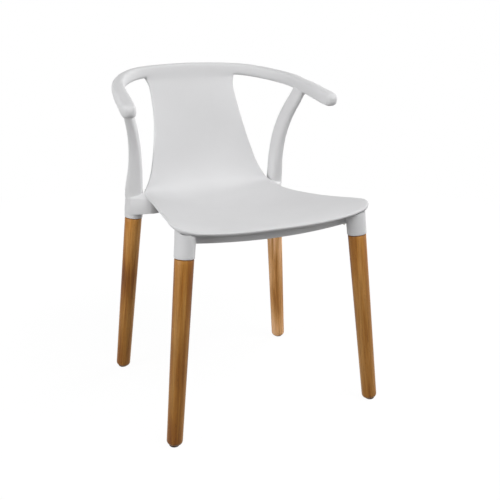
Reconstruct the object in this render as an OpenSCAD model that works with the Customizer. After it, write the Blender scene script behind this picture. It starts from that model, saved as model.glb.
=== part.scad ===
// Dining armchair: one-piece polypropylene shell with a bow that runs round into the arms,
// a moulded bracket under the front edge, and four splayed beech legs in sockets.
// Millimetres. Floor at z = 0, front toward -y, the sitter's left toward +x.

/* [Seat and back] */
// Height of the middle of the front edge above the floor
seat_height = 460; // [445:1:480]
// Height of the top of the bow above the floor
overall_height = 760; // [745:1:790]
// Thickness of the moulded sheet
sheet = 5; // [4:0.5:6]
// Thickness of the sheet's rolled rim
rim = 7.5; // [6:0.5:9]

/* [Legs] */
// Half the distance between the front feet
front_foot_x = 248.6; // [240:0.2:255]
// Half the distance between the rear feet
rear_foot_x = 228; // [220:0.2:235]
// Diameter of a leg under its socket
leg_top = 41.2; // [37:0.2:42]
// Diameter of a leg at the foot
leg_foot = 34.6; // [28:0.2:38]
// Diameter of the tenon inside the socket
tenon = 33; // [31:0.5:34]
// Outside diameter of a leg socket
socket = 45; // [44:0.5:47]

/* [Fixings] */
// Thread diameter of the leg bolts
bolt = 6; // [5:1:6]
// Radial play of the tenon in the bore
play = 0.3; // [0.2:0.1:0.4]

/* [Hidden] */
$fn = 48;

depth_shift = -29.7;      // puts the middle of the whole depth on the y axis
back_stretch = (overall_height - seat_height) / 300;

function up(rise) = seat_height + rise * (rise > 0 ? back_stretch : 1);

// ---------------------------------------------------------------- curves

function between(a, b, c, d, t) =
    0.5 * (2 * b + (c - a) * t + (2 * a - 5 * b + 4 * c - d) * t * t + (3 * b - a - 3 * c + d) * t * t * t);

// a smooth curve through a list of vectors; t counts the list's intervals
function spline(rows, t) =
    let (last = len(rows) - 1, i = min(floor(t), last - 1))
    between(rows[max(i - 1, 0)], rows[i], rows[i + 1], rows[min(i + 2, last)], t - i);

function unit(v) = v / norm(v);
function ease(t) = let (s = min(max(t, 0), 1)) s * s * (3 - 2 * s);

// ---------------------------------------------------------------- seat and back sheet

// Rows across the sheet, front lip to bow:
// [depth in the middle, rise in the middle, half width, depth at the edge, rise at the edge,
//  how late across the width the rise comes: 2 is a plain bow, more keeps the middle level]
sheet_rows = [
    [-227.5,  -1.4, 188.0, -216.5,   6.6, 3.6],
    [-224.5,  -0.6, 210.0, -214.0,  13.4, 5.0],
    [-216.5,  -0.8, 224.3, -206.5,  20.0, 4.5],
    [-201.0,  -1.6, 229.6, -189.0,  24.6, 3.6],
    [-168.0,  -5.0, 221.4, -155.0,  21.8, 2.8],
    [-110.0, -11.5, 210.3, -103.0,  14.6, 2.2],
    [ -50.0, -17.5, 198.0,  -47.0,   8.5, 2.0],
    [  10.0, -21.5, 187.0,   10.0,   3.9, 2.0],
    [  70.0, -22.5, 175.5,   68.0,   1.4, 2.0],
    [ 125.0, -18.5, 170.8,  117.0,   2.3, 2.0],
    [ 162.0,  -7.0, 169.5,  152.0,   8.0, 2.0],
    [ 183.0,  12.0, 160.0,  163.5,  15.0, 2.0],
    [ 195.0,  36.0, 149.8,  169.0,  31.0, 2.0],
    [ 203.0,  65.0, 138.5,  179.0,  57.0, 2.0],
    [ 216.0, 112.0, 124.6,  197.0, 110.0, 2.0],
    [ 234.0, 165.0, 114.6,  216.4, 165.0, 2.0],
    [ 256.5, 218.0, 110.0,  241.5, 216.0, 2.0],
    [ 270.5, 252.0, 110.4,  258.5, 250.0, 2.0],
    [ 274.3, 273.0, 115.5,  264.5, 270.5, 2.0],
    [ 275.5, 287.0, 131.0,  260.0, 281.0, 2.0]
];
gather_from = 16.6;       // row from which the sheet thickens into the bow
gather = 9;               // and by how much
edge_reach = 4.2;         // the most the rounded edge stands out
half_columns = [0.15, 0.3, 0.45, 0.6, 0.74, 0.86, 0.95, 1];
sheet_columns = concat([for (i = [7:-1:0]) -half_columns[i]], [0], half_columns);
// grid lines along the sheet, closer together where the seat bends up into the back
stations = [each [0:0.5:9], each [9.25:0.25:13], each [13.5:0.5:19]];
row_total = len(stations) - 1;
column_total = len(sheet_columns) - 1;

// the top (sitting) side of the sheet: u runs across from -1 to 1, v along the rows
function face(u, v) =
    let (r = spline(sheet_rows, v))
    [r[2] * u, r[0] + (r[3] - r[0]) * u * u, up(r[1] + (r[4] - r[1]) * pow(abs(u), r[5]))];

function face_normal(u, v) =
    let (a = min(v, len(sheet_rows) - 1.01))
    unit(cross(face(u + 0.01, v) - face(u - 0.01, v), face(0, a + 0.01) - face(0, max(a - 0.01, 0))));

// the way through the sheet: square to it, but turned upright near the lip so that its corners do not fold
function through(u, v) = unit(face_normal(u, v) + [0, 0, 2 * ease((3.8 - v) / 2.6)]);

// the rolled rim is deepest at the front corners and fades out behind them
function rim_share(v) =
    v < 3.4 ? 1 + 1.2 * ease(1 - abs(v - 1.2) / 2.2) : 0.1 + 0.9 * ease((6 - v) / 2.6);
function thickness(u, v) =
    sheet + gather * ease((v - gather_from) / 1.6) * ease((1 - abs(u)) / 0.3)
    + (rim - sheet) * max(ease((abs(u) - 0.86) / 0.1) * rim_share(v), ease((1.4 - v) / 1.4));

function under(u, v) = face(u, v) - through(u, v) * thickness(u, v);

// the border of the grid, once round, as [column, row]
border = [
    for (i = [0:column_total]) [i, 0],
    for (j = [1:row_total]) [column_total, j],
    for (i = [column_total - 1:-1:0]) [i, row_total],
    for (j = [row_total - 1:-1:1]) [0, j]
];

function border_uv(k) =
    let (b = border[(k + len(border)) % len(border)])
    [sheet_columns[b[0]], stations[b[1]]];

// points of the rounded edge between the two sides; in front it is fullest near the top
function edge_point(k, angle) =
    let (
        at = border_uv(k),
        before = border_uv(k - 1),
        after = border_uv(k + 1),
        n = through(at[0], at[1]),
        along = face(after[0], after[1]) - face(before[0], before[1]),
        out = unit(cross(along, n)),
        whole = thickness(at[0], at[1]),
        above = whole * (0.5 - 0.16 * ease((4.5 - at[1]) / 2)),
        reach = min(whole / 2, edge_reach)
    )
    face(at[0], at[1]) - n * above
    + out * reach * sin(angle) + n * (angle < 90 ? above : whole - above) * cos(angle);

module seat_and_back() {
    columns = column_total + 1;
    rows = row_total + 1;
    around = len(border);
    grid = [for (v = stations, u = sheet_columns) [u, v]];
    top = [for (g = grid) face(g[0], g[1])];
    bottom = [for (g = grid) under(g[0], g[1])];
    edge = [for (angle = [45, 90, 135], k = [0:around - 1]) edge_point(k, angle)];
    below = columns * rows;
    // index of ring q of the edge: 0 is the top side, 4 the underside
    function ring(q, k) =
        let (b = border[k % around], on_grid = b[1] * columns + b[0])
        q == 0 ? on_grid : q == 4 ? below + on_grid : 2 * below + (q - 1) * around + k % around;
    top_faces = [
        for (j = [0:row_total - 1], i = [0:column_total - 1])
            let (a = j * columns + i)
            each [[a, a + columns, a + columns + 1], [a, a + columns + 1, a + 1]]
    ];
    bottom_faces = [for (f = top_faces) [f[2] + below, f[1] + below, f[0] + below]];
    edge_faces = [
        for (q = [0:3], k = [0:around - 1])
            each [
                [ring(q, k), ring(q, k + 1), ring(q + 1, k + 1)],
                [ring(q, k), ring(q + 1, k + 1), ring(q + 1, k)]
            ]
    ];
    polyhedron(concat(top, bottom, edge), concat(top_faces, bottom_faces, edge_faces), convexity = 12);
}

// ---------------------------------------------------------------- bow, arms and posts

// a closed solid through a list of rings with the same number of points
module skin(rings) {
    n = len(rings[0]);
    last = (len(rings) - 1) * n;
    sides = [
        for (j = [0:len(rings) - 2], i = [0:n - 1])
            let (a = j * n + i, b = j * n + (i + 1) % n)
            each [[a, b, b + n], [a, b + n, a + n]]
    ];
    polyhedron(
        [for (r = rings) each r],
        concat(sides, [[for (i = [n - 1:-1:0]) i]], [[for (i = [0:n - 1]) last + i]]),
        convexity = 8
    );
}

// a rounded box section: squareness 2 is an ellipse, more gives flatter sides
function soft(value, squareness) = sign(value) * pow(abs(value), 2 / squareness);
function section(centre, across, along, width, height, squareness, count) = [
    for (i = [0:count - 1])
        let (a = 360 * i / count)
        centre + across * (width / 2 * soft(cos(a), squareness)) + along * (height / 2 * soft(sin(a), squareness))
];

// Right half of the bow, from the middle of the back to the arm's end:
// [x, depth, rise, thickness of the section, height of the section]
bow_rows = [
    [0.0, 284.0, 286.0, 19.0, 28.0],
    [60.0, 281.0, 284.8, 19.0, 27.8],
    [115.0, 271.5, 282.2, 19.5, 28.2],
    [155.0, 253.5, 278.3, 21.0, 29.0],
    [190.8, 217.0, 271.3, 22.6, 29.6],
    [213.0, 180.0, 264.6, 25.6, 30.0],
    [226.5, 146.0, 258.8, 28.6, 30.2],
    [233.0, 112.0, 250.6, 31.0, 30.6],
    [238.5, 80.0, 244.2, 32.0, 31.0],
    [242.5, 48.0, 236.6, 32.4, 31.6],
    [246.5, 20.0, 229.7, 32.6, 32.4],
    [248.8, 2.0, 225.8, 33.0, 32.4]
];
bow_steps = 2;
bow_corners = 16;
bow_end = len(bow_rows) - 1;
tip_length = 17;          // length of the arm's rounded end
tip_squareness = 2.2;
bow_squareness = 3;

function bow_centre(t) = let (r = spline(bow_rows, t)) [r[0], r[1], up(r[2])];
function bow_along(t) = unit(bow_centre(min(t + 0.02, bow_end)) - bow_centre(max(t - 0.02, 0)));

// ring t of the right half; reach pushes it past the last row and shrink closes the tip
function bow_ring(t, reach, shrink) =
    let (
        r = spline(bow_rows, t),
        along = t == 0 ? [1, 0, 0] : bow_along(t),
        across = unit(cross(along, [0, 0, 1])),
        upward = cross(across, along)
    )
    section(bow_centre(t) + along * reach, across, upward, r[3] * shrink, r[4] * shrink, bow_squareness, bow_corners);

right_bow = concat(
    [for (k = [0:bow_end * bow_steps]) bow_ring(k / bow_steps, 0, 1)],
    [
        for (a = [22, 40, 56, 71, 84])
            bow_ring(bow_end, tip_length * soft(sin(a), tip_squareness), soft(cos(a), tip_squareness))
    ]
);

function mirrored(ring) = [for (p = ring) [-p[0], p[1], p[2]]];

module bow_and_arms() {
    left_bow = [for (k = [len(right_bow) - 1:-1:1]) mirrored(right_bow[k])];
    skin(concat(left_bow, right_bow));
}

// Rear post, from the socket to the arm: [x, depth, rise, long side, short side of the section]
post_rows = [
    [191.5, 174.5, -8.0, 42.0, 44.0],
    [190.3, 171.2, 15.0, 34.0, 42.0],
    [189.0, 167.3, 40.0, 32.6, 37.8],
    [188.6, 163.9, 60.0, 33.4, 34.8],
    [188.8, 160.0, 80.0, 34.6, 31.4],
    [191.2, 151.9, 118.0, 35.4, 27.6],
    [198.0, 140.3, 158.0, 35.4, 24.8],
    [208.2, 128.0, 192.0, 34.8, 22.8],
    [217.8, 115.5, 218.0, 34.0, 20.6],
    [225.5, 107.5, 240.0, 33.0, 19.0]
];
post_sweep = unit([0.43, -0.9, 0]);    // the section is longest toward the arm
post_squareness = 2.8;
post_corners = 16;

module rear_post() {
    last = len(post_rows) - 1;
    function centre(t) = let (r = spline(post_rows, t)) [r[0], r[1], up(r[2])];
    rings = [
        for (k = [0:last * 2])
            let (
                t = k / 2,
                r = spline(post_rows, t),
                along = unit(centre(min(t + 0.05, last)) - centre(max(t - 0.05, 0))),
                flat = unit(post_sweep - along * (post_sweep * along)),
                other = cross(flat, along)
            )
            section(centre(t), flat, other, r[3], r[4], post_squareness, post_corners)
    ];
    skin(rings);
}

// ---------------------------------------------------------------- leg lines

// each leg's line is given by its foot on the floor and the middle of its socket's lower rim
front_foot = [front_foot_x, -217.5, 0];
front_rim = [207.9, -197.2, seat_height - 53];
rear_foot = [rear_foot_x, 212.2, 0];
rear_rim = [192.8, 180.3, seat_height - 57];
tenon_length = 44;
glide_height = 4;

// moves its children from a local frame (z up the leg, origin at the socket's lower rim) to the leg
module on_leg(foot, rim_point) {
    along = unit(rim_point - foot);
    tilt = acos(along[2]);
    heading = atan2(along[1], along[0]);
    translate(rim_point) rotate([0, 0, heading]) rotate([0, tilt, 0]) rotate([0, 0, -heading]) children();
}

// ---------------------------------------------------------------- leg fixings

// The bolts come from inside the cross beams. Distances are from the leg's axis, heights from the rim.
// [height, turn away from the straight line across the chair]
front_fix = [29, -45];    // behind the apron
rear_fix = [25, 15];      // inside the rear beam
pad_reach = 25.5;         // flat seat of the washer
washer_thickness = 1.6;
washer_diameter = 12;
head_diameter = 10.5;
head_height = 3.3;
insert_diameter = 9;
insert_length = 16;
bolt_length = 20;

// the inner side of a leg, toward the middle of the chair
module inward(fix) translate([0, 0, fix[0]]) rotate([0, 0, fix[1]]) rotate([0, -90, 0]) children();

module leg_bolt(fix) color("silver") inward(fix) {
    difference() {
        union() {
            translate([0, 0, pad_reach + washer_thickness - bolt_length - 0.05])
                cylinder(d = bolt, h = bolt_length + 0.1);
            translate([0, 0, pad_reach + washer_thickness]) rotate_extrude() intersection() {
                translate([0, -8.2]) circle(r = 8.2 + head_height);
                square([head_diameter / 2, head_height]);
            }
        }
        translate([0, 0, pad_reach + washer_thickness + 0.9]) cylinder(d = 4 / cos(30), h = 4, $fn = 6);
    }
}

module leg_washer(fix) color("silver") inward(fix)
    translate([0, 0, pad_reach]) difference() {
        cylinder(d = washer_diameter, h = washer_thickness);
        translate([0, 0, -1]) cylinder(d = bolt + 0.4, h = washer_thickness + 2);
    }

module leg_insert(fix) color("goldenrod") inward(fix)
    translate([0, 0, tenon / 2 - insert_length - 0.2]) difference() {
        union() {
            cylinder(d = insert_diameter - 1, h = insert_length);
            for (z = [1.5:3:insert_length - 2]) translate([0, 0, z]) cylinder(d = insert_diameter, h = 1);
        }
        translate([0, 0, -1]) cylinder(d = bolt, h = insert_length + 2);
    }

// ---------------------------------------------------------------- legs

module leg(foot, rim_point, fix) color("burlywood") {
    length = norm(rim_point - foot);
    difference() {
        on_leg(foot, rim_point) rotate_extrude() polygon(concat(
            [[0, -length - 4], [leg_foot / 2 - 5, -length - 4]],
            [for (a = [-90:15:0]) [leg_foot / 2 - 5 + 5 * cos(a), -length + 10 + 5 * sin(a)]],
            [[leg_top / 2, -2.6], [leg_top / 2 - 1.2, -1.2], [tenon / 2, -1.2]],
            [[tenon / 2, tenon_length - 2], [tenon / 2 - 2, tenon_length], [0, tenon_length]]
        ));
        // the foot is sawn level with the floor, above its glide
        translate([foot[0] - 50, foot[1] - 50, -100 + glide_height]) cube([100, 100, 100]);
        // pilot hole for the glide's nail
        translate([foot[0], foot[1], 0]) cylinder(d = 2, h = glide_height + 16);
        // blind hole for the threaded insert
        on_leg(foot, rim_point) inward(fix)
            translate([0, 0, tenon / 2 - insert_length - 0.4]) cylinder(d = insert_diameter, h = 40);
    }
}

module glide(foot) color("dimgray") translate([foot[0], foot[1], 0]) difference() {
    rotate_extrude() polygon([
        [0, 0], [10, 0], [11, 0.8], [11.5, 2.2], [11.5, glide_height], [0, glide_height]
    ]);
    translate([0, 0, -1]) cylinder(d = 2.6, h = glide_height + 2);
    translate([0, 0, -0.01]) cylinder(d1 = 7, d2 = 2.6, h = 2.2);
}

module glide_nail(foot) color("silver") translate([foot[0], foot[1], 0]) {
    translate([0, 0, 0.5]) cylinder(d1 = 5.8, d2 = 2, h = 1.9);
    translate([0, 0, 2.3]) cylinder(d = 2, h = 15);
    translate([0, 0, 17.2]) cylinder(d1 = 2, d2 = 0.4, h = 2.5);
}

// ---------------------------------------------------------------- shell

beam_drop = 46.3;         // lower edge of the rear beam under the front edge's height
beam_wall = 3.5;
web_top = seat_height - 15;
boss_spots = [[-0.68, 3.6], [-0.27, 3.45], [0.27, 3.45], [0.68, 3.6]];
boss_places = [for (spot = boss_spots) face(spot[0], spot[1])];

// a rib that hangs from the sheet: v_middle and v_bend place it across the seat
module hanging_wall(v_middle, v_bend, reach, drop) {
    us = [for (i = [-8:8]) reach * i / 8];
    function v_at(u) = v_middle + v_bend * u * u;
    function flat(p, dy, z) = [p[0], p[1] + dy, z];
    rings = [
        for (u = us)
            let (p = face(u, v_at(u)) - face_normal(u, v_at(u)) * sheet / 2)
            [
                flat(p, -beam_wall / 2, p[2]),
                flat(p, beam_wall / 2, p[2]),
                flat(p, beam_wall / 2, seat_height - drop),
                flat(p, -beam_wall / 2, seat_height - drop)
            ]
    ];
    skin(rings);
}

module rear_socket_body() {
    on_leg(rear_foot, rear_rim) {
        cylinder(d = socket - 1.4, h = 14);
        translate([0, 0, 11.5]) cylinder(d1 = socket - 1.4, d2 = socket, h = 1.5);
        translate([0, 0, 12]) cylinder(d = socket, h = 41);
    }
}

// the hollow ear between the socket, the beam and the seat's rim: a sloping shelf on two walls
module rear_ear() {
    inner = [162, 154.8];     // its corner at the beam
    depth = 30;
    flare = 3;                // the walls move back toward the post
    low = seat_height - beam_drop;
    module post_side(z) translate([rear_rim[0] - 1.5, rear_rim[1] - 2, z]) cylinder(d = socket - 3, h = 0.5, $fn = 32);
    module seat_side(z) translate([inner[0], inner[1], z]) cube([6, depth, 0.5]);
    hull() {
        post_side(seat_height - 4);
        post_side(seat_height - 9);
        seat_side(seat_height + 1);
        seat_side(seat_height - 5);
    }
    for (y = [inner[1], inner[1] + depth - beam_wall])
        hull() {
            translate([inner[0], y, low]) cube([0.5, beam_wall, beam_drop - 2]);
            translate([rear_rim[0] - 1, y + flare, low]) cube([0.5, beam_wall, beam_drop - 6]);
        }
}

module bore(foot, rim_point) on_leg(foot, rim_point)
    translate([0, 0, -1]) cylinder(d = tenon + 2 * play, h = tenon_length + 3);

module bolt_hole(foot, rim_point, fix) on_leg(foot, rim_point) inward(fix)
    cylinder(d = bolt + 1, h = 40);

module washer_room(foot, rim_point, fix) on_leg(foot, rim_point) inward(fix)
    translate([0, 0, pad_reach]) cylinder(d = 15, h = 12);

module bolt_pad(foot, rim_point, fix) on_leg(foot, rim_point) inward(fix)
    translate([0, 0, 14]) cylinder(d = 15, h = pad_reach - 14);

module right_then_left() {
    children();
    mirror([1, 0, 0]) children();
}

module screw_boss(place) translate([place[0], place[1], web_top]) hull() {
    cylinder(d = 9, h = 1, $fn = 24);
    translate([0, 0, place[2] - web_top - 3.5]) cylinder(d = 10, h = 1, $fn = 24);
}

module seat_back_shell() color("white") difference() {
    union() {
        seat_and_back();
        bow_and_arms();
        right_then_left() {
            rear_post();
            rear_socket_body();
            rear_ear();
            bolt_pad(rear_foot, rear_rim, rear_fix);
        }
        hanging_wall(9.85, 0.45, 0.97, beam_drop);
        hanging_wall(10.75, 0.1, 0.95, beam_drop);
        for (place = boss_places) screw_boss(place);
    }
    right_then_left() {
        bore(rear_foot, rear_rim);
        bolt_hole(rear_foot, rear_rim, rear_fix);
    }
    for (place = boss_places) translate([place[0], place[1], web_top - 1]) cylinder(d = 3.2, h = 8);
}

// ---------------------------------------------------------------- front bracket

apron_bow = 1080;         // radius of the apron in plan
apron_face = -205;        // depth of the apron's middle
apron_depth = 30;
apron_wall = 3.5;
lower_edge = seat_height - 31.7;
apron_end = 193;          // half its length, inside the leg sockets
apron_arch = 2700;        // radius of its lower edge

// part of a ring that stands on the apron's curve, from distance a to b behind its face
module curved_wall(a, b, low, high) translate([0, apron_face + apron_bow, low]) difference() {
    cylinder(r = apron_bow - a, h = high - low, $fn = 256);
    translate([0, 0, -1]) cylinder(r = apron_bow - b, h = high - low + 2, $fn = 256);
}

module front_socket_body() on_leg(front_foot, front_rim) {
    cylinder(d1 = socket - 1.4, d2 = socket + 1, h = 80);
}

// everything above the seat's underside in front, lowered by the gap between shell and bracket
module room_for_seat() {
    // a shadow gap over the sockets, close to the sheet between them
    function gap(u) = 0.5 + 2.5 * ease((abs(u) - 0.8) / 0.12);
    steps = 9;
    back = 5;
    high = seat_height + 60;
    // the corners start further back, where the rim turns
    function reach(u, k) = let (start = 1.3 * ease((abs(u) - 0.8) / 0.2)) start + (back - start) * k / steps;
    function low(u, k) = under(u, reach(u, k)) - [0, 0, gap(u)];
    function wide(u, far, p) = [far ? sign(u) * 260 : p[0], p[1], p[2]];
    function ring(u, far) = [
        let (p = low(u, 0)) wide(u, far, [p[0], -250, p[2]]),
        for (k = [0:steps]) wide(u, far, low(u, k)),
        let (p = low(u, steps)) wide(u, far, [p[0], p[1], high]),
        let (p = low(u, 0)) wide(u, far, [p[0], -250, high])
    ];
    skin([ring(1, true), for (u = sheet_columns) ring(-u, false), ring(-1, true)]);
}

module front_leg_bracket() color("white") difference() {
    union() {
        intersection() {
            translate([0, 0, lower_edge + apron_arch]) rotate([90, 0, 0])
                cylinder(r = apron_arch, h = 600, center = true, $fn = 256);
            translate([-apron_end, -240, lower_edge - 5]) cube([2 * apron_end, 120, 60]);
            union() {
                curved_wall(0, apron_wall, lower_edge - 5, seat_height + 30);
                curved_wall(apron_depth - apron_wall, apron_depth, lower_edge - 5, web_top);
                curved_wall(1, apron_depth - 1, web_top - 3.5, web_top);
            }
        }
        right_then_left() {
            front_socket_body();
            bolt_pad(front_foot, front_rim, front_fix);
        }
    }
    room_for_seat();
    right_then_left() {
        bore(front_foot, front_rim);
        bolt_hole(front_foot, front_rim, front_fix);
        washer_room(front_foot, front_rim, front_fix);
    }
    for (place = boss_places) translate([place[0], place[1], web_top - 5]) cylinder(d = 4.5, h = 8);
}

module bracket_screws() color("silver") for (place = boss_places) translate([place[0], place[1], 0]) {
    translate([0, 0, web_top - 3.5 - 2.4]) cylinder(d1 = 6.5, d2 = 8, h = 2.4);
    translate([0, 0, web_top - 3.6]) cylinder(d = 3.2, h = 10);
}

// ---------------------------------------------------------------- assembly

module placed() translate([0, depth_shift, 0]) children();
module left() placed() children();
module right() placed() mirror([1, 0, 0]) children();
module front() on_leg(front_foot, front_rim) children();
module rear() on_leg(rear_foot, rear_rim) children();

placed() seat_back_shell();
placed() front_leg_bracket();
placed() bracket_screws();
left() leg(front_foot, front_rim, front_fix);  // front_left_leg
right() leg(front_foot, front_rim, front_fix);  // front_right_leg
left() leg(rear_foot, rear_rim, rear_fix);  // rear_left_leg
right() leg(rear_foot, rear_rim, rear_fix);  // rear_right_leg
left() front() leg_bolt(front_fix);  // front_left_bolt
right() front() leg_bolt(front_fix);  // front_right_bolt
left() rear() leg_bolt(rear_fix);  // rear_left_bolt
right() rear() leg_bolt(rear_fix);  // rear_right_bolt
left() front() leg_washer(front_fix);  // front_left_washer
right() front() leg_washer(front_fix);  // front_right_washer
left() rear() leg_washer(rear_fix);  // rear_left_washer
right() rear() leg_washer(rear_fix);  // rear_right_washer
left() front() leg_insert(front_fix);  // front_left_insert
right() front() leg_insert(front_fix);  // front_right_insert
left() rear() leg_insert(rear_fix);  // rear_left_insert
right() rear() leg_insert(rear_fix);  // rear_right_insert
left() glide(front_foot);  // front_left_glide
right() glide(front_foot);  // front_right_glide
left() glide(rear_foot);  // rear_left_glide
right() glide(rear_foot);  // rear_right_glide
left() glide_nail(front_foot);  // front_left_nail
right() glide_nail(front_foot);  // front_right_nail
left() glide_nail(rear_foot);  // rear_left_nail
right() glide_nail(rear_foot);  // rear_right_nail
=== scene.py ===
import math

import bpy
import numpy as np
from mathutils import Matrix, Vector
from mathutils.bvhtree import BVHTree


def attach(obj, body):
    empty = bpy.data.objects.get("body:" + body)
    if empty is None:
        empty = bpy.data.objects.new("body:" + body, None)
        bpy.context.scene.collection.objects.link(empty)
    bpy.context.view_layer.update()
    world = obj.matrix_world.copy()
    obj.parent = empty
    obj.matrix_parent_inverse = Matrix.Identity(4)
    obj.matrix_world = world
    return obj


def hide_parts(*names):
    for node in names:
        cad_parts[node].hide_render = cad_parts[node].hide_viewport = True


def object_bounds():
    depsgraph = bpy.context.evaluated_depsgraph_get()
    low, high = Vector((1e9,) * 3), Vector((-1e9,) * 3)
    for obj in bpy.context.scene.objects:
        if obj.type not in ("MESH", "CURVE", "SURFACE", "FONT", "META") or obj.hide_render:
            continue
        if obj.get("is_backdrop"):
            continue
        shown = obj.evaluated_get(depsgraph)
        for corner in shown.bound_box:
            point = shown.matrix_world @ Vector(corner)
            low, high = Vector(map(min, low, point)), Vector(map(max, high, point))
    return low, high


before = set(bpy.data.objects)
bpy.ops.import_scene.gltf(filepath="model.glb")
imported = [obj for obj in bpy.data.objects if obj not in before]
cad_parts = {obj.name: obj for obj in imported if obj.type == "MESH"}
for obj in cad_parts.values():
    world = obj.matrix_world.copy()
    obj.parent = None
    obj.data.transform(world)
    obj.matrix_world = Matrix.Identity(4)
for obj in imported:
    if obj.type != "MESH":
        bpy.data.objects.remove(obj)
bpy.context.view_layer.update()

# ---------------------------------------------------------------- shell: seat, back, bow, arms, posts
# One polypropylene moulding: a thin saddle-shaped sheet that bends up into a waisted back, a bow along its top
# that runs round into two short arms, and two posts that carry the arms and end in the rear leg sockets. One
# half is drawn as a control cage, mirrored and subdivided, so that the branches flow into each other.

MM = 0.001               # sizes are in millimetres, meshes in metres
SEAT_HEIGHT = 460        # the seat's front edge over the floor; rises in the rows below count from it
DEPTH_SHIFT = -29.7      # middle of the chair's depth against the middle of its feet
SHEET = 5                # wall of the sheet
RIM = 7.5                # the same at its rolled edge
GATHER = 9               # what the sheet gains behind where it runs into the bow

# rows across the sheet, front lip to bow: depth and rise in the middle, half width, depth and rise at the
# edge, and how late the rise comes toward the edge (2 is an even curve, more keeps the middle flat)
SHEET_ROWS = [
    [-227.5, -1.4, 188.0, -216.5, 6.6, 3.6],
    [-224.5, -0.6, 210.0, -214.0, 13.4, 5.0],
    [-216.5, -0.8, 224.3, -206.5, 20.0, 4.5],
    [-201.0, -1.6, 229.6, -189.0, 24.6, 3.6],
    [-168.0, -5.0, 221.4, -155.0, 21.8, 2.8],
    [-110.0, -11.5, 210.3, -103.0, 14.6, 2.2],
    [-50.0, -17.5, 198.0, -47.0, 8.5, 2.0],
    [10.0, -21.5, 187.0, 10.0, 3.9, 2.0],
    [70.0, -22.5, 175.5, 68.0, 1.4, 2.0],
    [125.0, -18.5, 170.8, 117.0, 2.3, 2.0],
    [162.0, -7.0, 169.5, 152.0, 8.0, 2.0],
    [183.0, 12.0, 160.0, 163.5, 15.0, 2.0],
    [195.0, 36.0, 149.8, 169.0, 31.0, 2.0],
    [203.0, 65.0, 138.5, 179.0, 57.0, 2.0],
    [216.0, 112.0, 124.6, 197.0, 110.0, 2.0],
    [234.0, 165.0, 114.6, 216.4, 165.0, 2.0],
    [256.5, 218.0, 110.0, 241.5, 216.0, 2.0],
    [270.5, 252.0, 110.4, 258.5, 250.0, 2.0],
    [274.3, 273.0, 121.5, 262.8, 268.0, 2.0],
    [275.5, 287.0, 150.0, 250.0, 277.0, 2.0],
]

# along the bow, middle of the back to the arm's end: across, depth, rise, thickness and height of the section
BOW_ROWS = [
    [0.0, 284.0, 285.9, 19.0, 28.0],
    [60.0, 281.0, 284.8, 19.0, 27.8],
    [115.0, 271.5, 282.2, 19.5, 28.2],
    [155.0, 253.5, 278.3, 21.0, 29.0],
    [190.8, 217.0, 271.3, 22.6, 29.6],
    [213.0, 180.0, 264.6, 25.6, 30.0],
    [226.5, 146.0, 258.8, 28.6, 30.2],
    [233.0, 112.0, 250.6, 31.0, 30.6],
    [238.5, 80.0, 244.2, 32.0, 31.0],
    [242.5, 48.0, 236.6, 32.4, 31.6],
    [246.5, 20.0, 229.7, 32.6, 32.4],
    [248.8, 2.0, 225.8, 33.0, 32.4],
]
TIP = 17                 # the domed end reaches this far beyond the last row
TIP_TURNS = (22, 40, 56, 71, 84)       # degrees round the dome

# up the rear post, socket to arm: across, depth, rise, long and short side of the section
POST_ROWS = [
    [189.2, 175.6, -1.5, 41.6, 44.4],
    [190.6, 173.0, 7.5, 31.6, 43.0],
    [190.6, 171.4, 19.0, 31.8, 41.6],
    [189.6, 167.3, 40.0, 32.6, 38.2],
    [188.6, 163.9, 60.0, 33.4, 34.8],
    [188.8, 160.0, 80.0, 34.6, 31.4],
    [191.2, 151.9, 118.0, 35.4, 27.6],
    [198.0, 140.3, 158.0, 35.4, 24.8],
    [208.2, 128.0, 192.0, 34.8, 22.8],
    [217.8, 115.5, 218.0, 34.0, 20.6],
    [225.5, 107.5, 240.0, 33.0, 19.0],
]

UP = np.array([0.0, 0.0, 1.0])


def spline(rows, t):
    """A smooth curve through a list of rows; t counts the list's intervals."""
    rows = np.asarray(rows, float)
    last = len(rows) - 1
    i = int(min(math.floor(t), last - 1))
    a, b, c, d = rows[max(i - 1, 0)], rows[i], rows[i + 1], rows[min(i + 2, last)]
    s = t - i
    return 0.5 * (2 * b + (c - a) * s + (2 * a - 5 * b + 4 * c - d) * s * s + (3 * b - a - 3 * c + d) * s**3)


def unit(v):
    return v / np.linalg.norm(v)


def ease(t):
    """From 0 to 1 along a soft curve, level at both ends."""
    t = min(max(t, 0.0), 1.0)
    return t * t * (3 - 2 * t)


def face(u, v):
    """The sitting side of the sheet: u runs across from -1 to 1, v along the rows."""
    depth, rise, half, edge_depth, edge_rise, late = spline(SHEET_ROWS, v)
    climb = (edge_rise - rise) * abs(u) ** late
    return np.array([half * u, depth + (edge_depth - depth) * u * u, SEAT_HEIGHT + rise + climb])


def face_normal(u, v):
    a = min(max(v, 0.01), len(SHEET_ROWS) - 1.01)
    across = face(u + 0.01, v) - face(u - 0.01, v)
    along = face(u, a + 0.01) - face(u, a - 0.01)
    return unit(np.cross(across, along))


def rim_share(v):
    """How much of the rolled edge the side has: most at the front corners, a tenth beside the back."""
    return 1 + 1.2 * ease(1 - abs(v - 1.2) / 2.2) if v < 3.4 else 0.1 + 0.9 * ease((6 - v) / 2.6)


def thickness(u, v):
    rolled = max(ease((abs(u) - 0.86) / 0.1) * rim_share(v), ease((1.4 - v) / 1.4))
    gathered = ease((v - 16.6) / 1.6) * ease((1 - abs(u)) / 0.3)
    return SHEET + (RIM - SHEET) * rolled + GATHER * gathered


def through(u, v):
    """The way through the sheet: square to it, but upright near the lip so that its corners do not fold."""
    return unit(face_normal(u, v) + UP * 2 * ease((3.8 - v) / 2.6))


def under(u, v):
    return face(u, v) - through(u, v) * thickness(u, v)


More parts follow.
